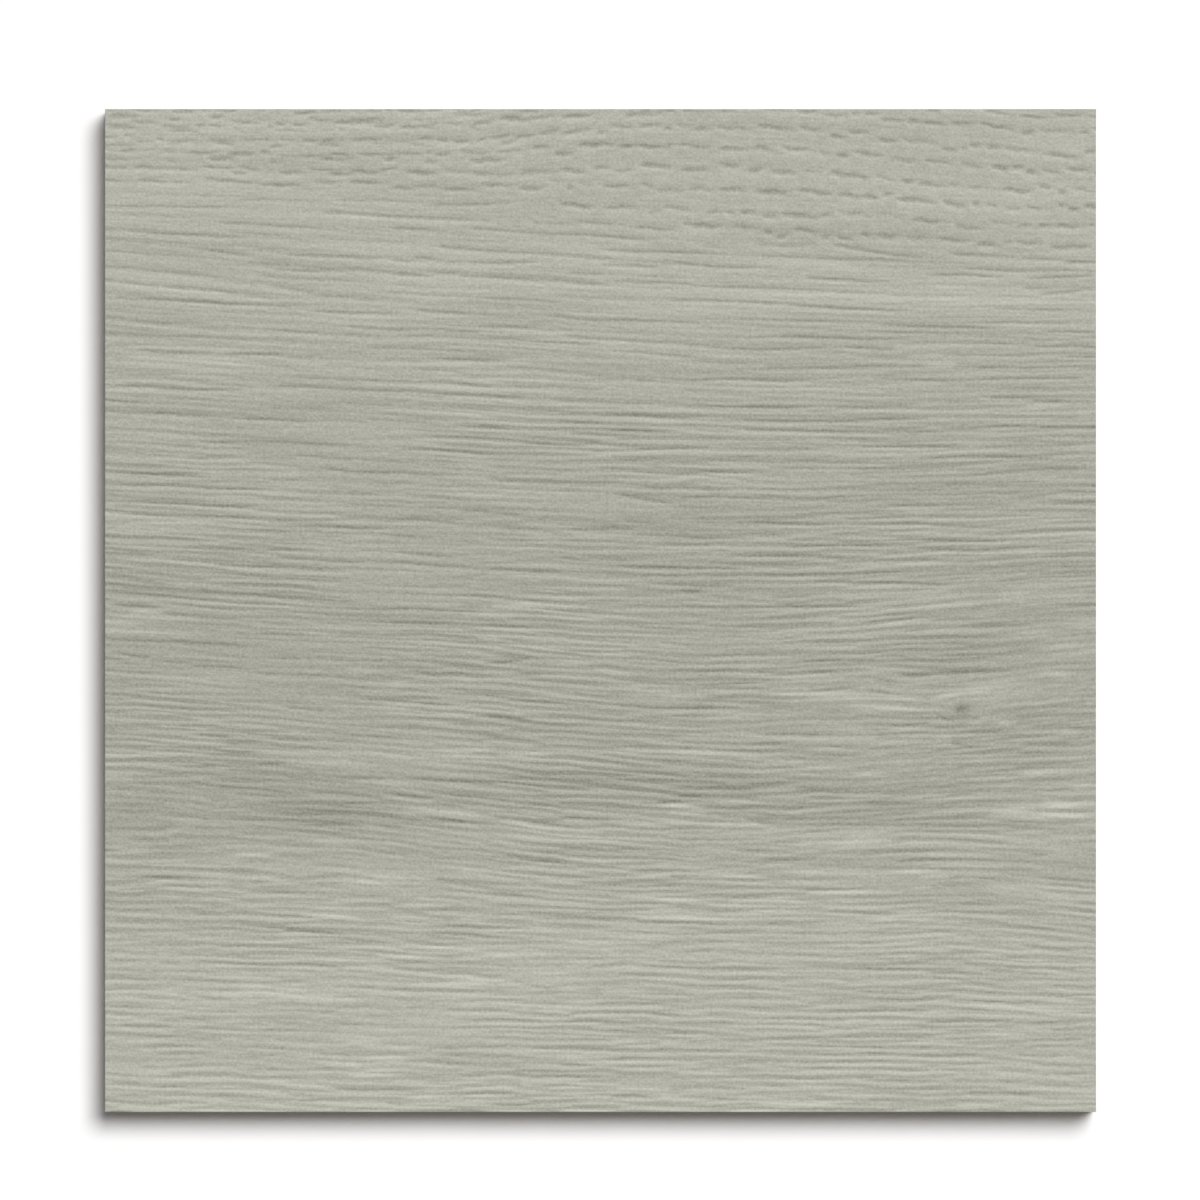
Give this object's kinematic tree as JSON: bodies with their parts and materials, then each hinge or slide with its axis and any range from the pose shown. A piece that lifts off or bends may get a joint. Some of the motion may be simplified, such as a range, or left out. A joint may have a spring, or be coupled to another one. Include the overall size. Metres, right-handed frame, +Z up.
{
  "type": "laminate floor plank sample",
  "caption": "Square sawn sample of laminate floor plank with an embossed grey oak-look decor face, laid flat or butted edge to edge as a floor covering.",
  "frame": {"origin": "middle of the flat underside, on the floor that the board lies on", "axes": "+X along the wood grain, +Y across the grain, +Z up out of the decor face"},
  "size_m": [0.1906, 0.193, 0.008],
  "materials": {
    "laminate": "satin"
  },
  "bodies": {
    "root": {"plank": "laminate"}
  },
  "joints": []
}
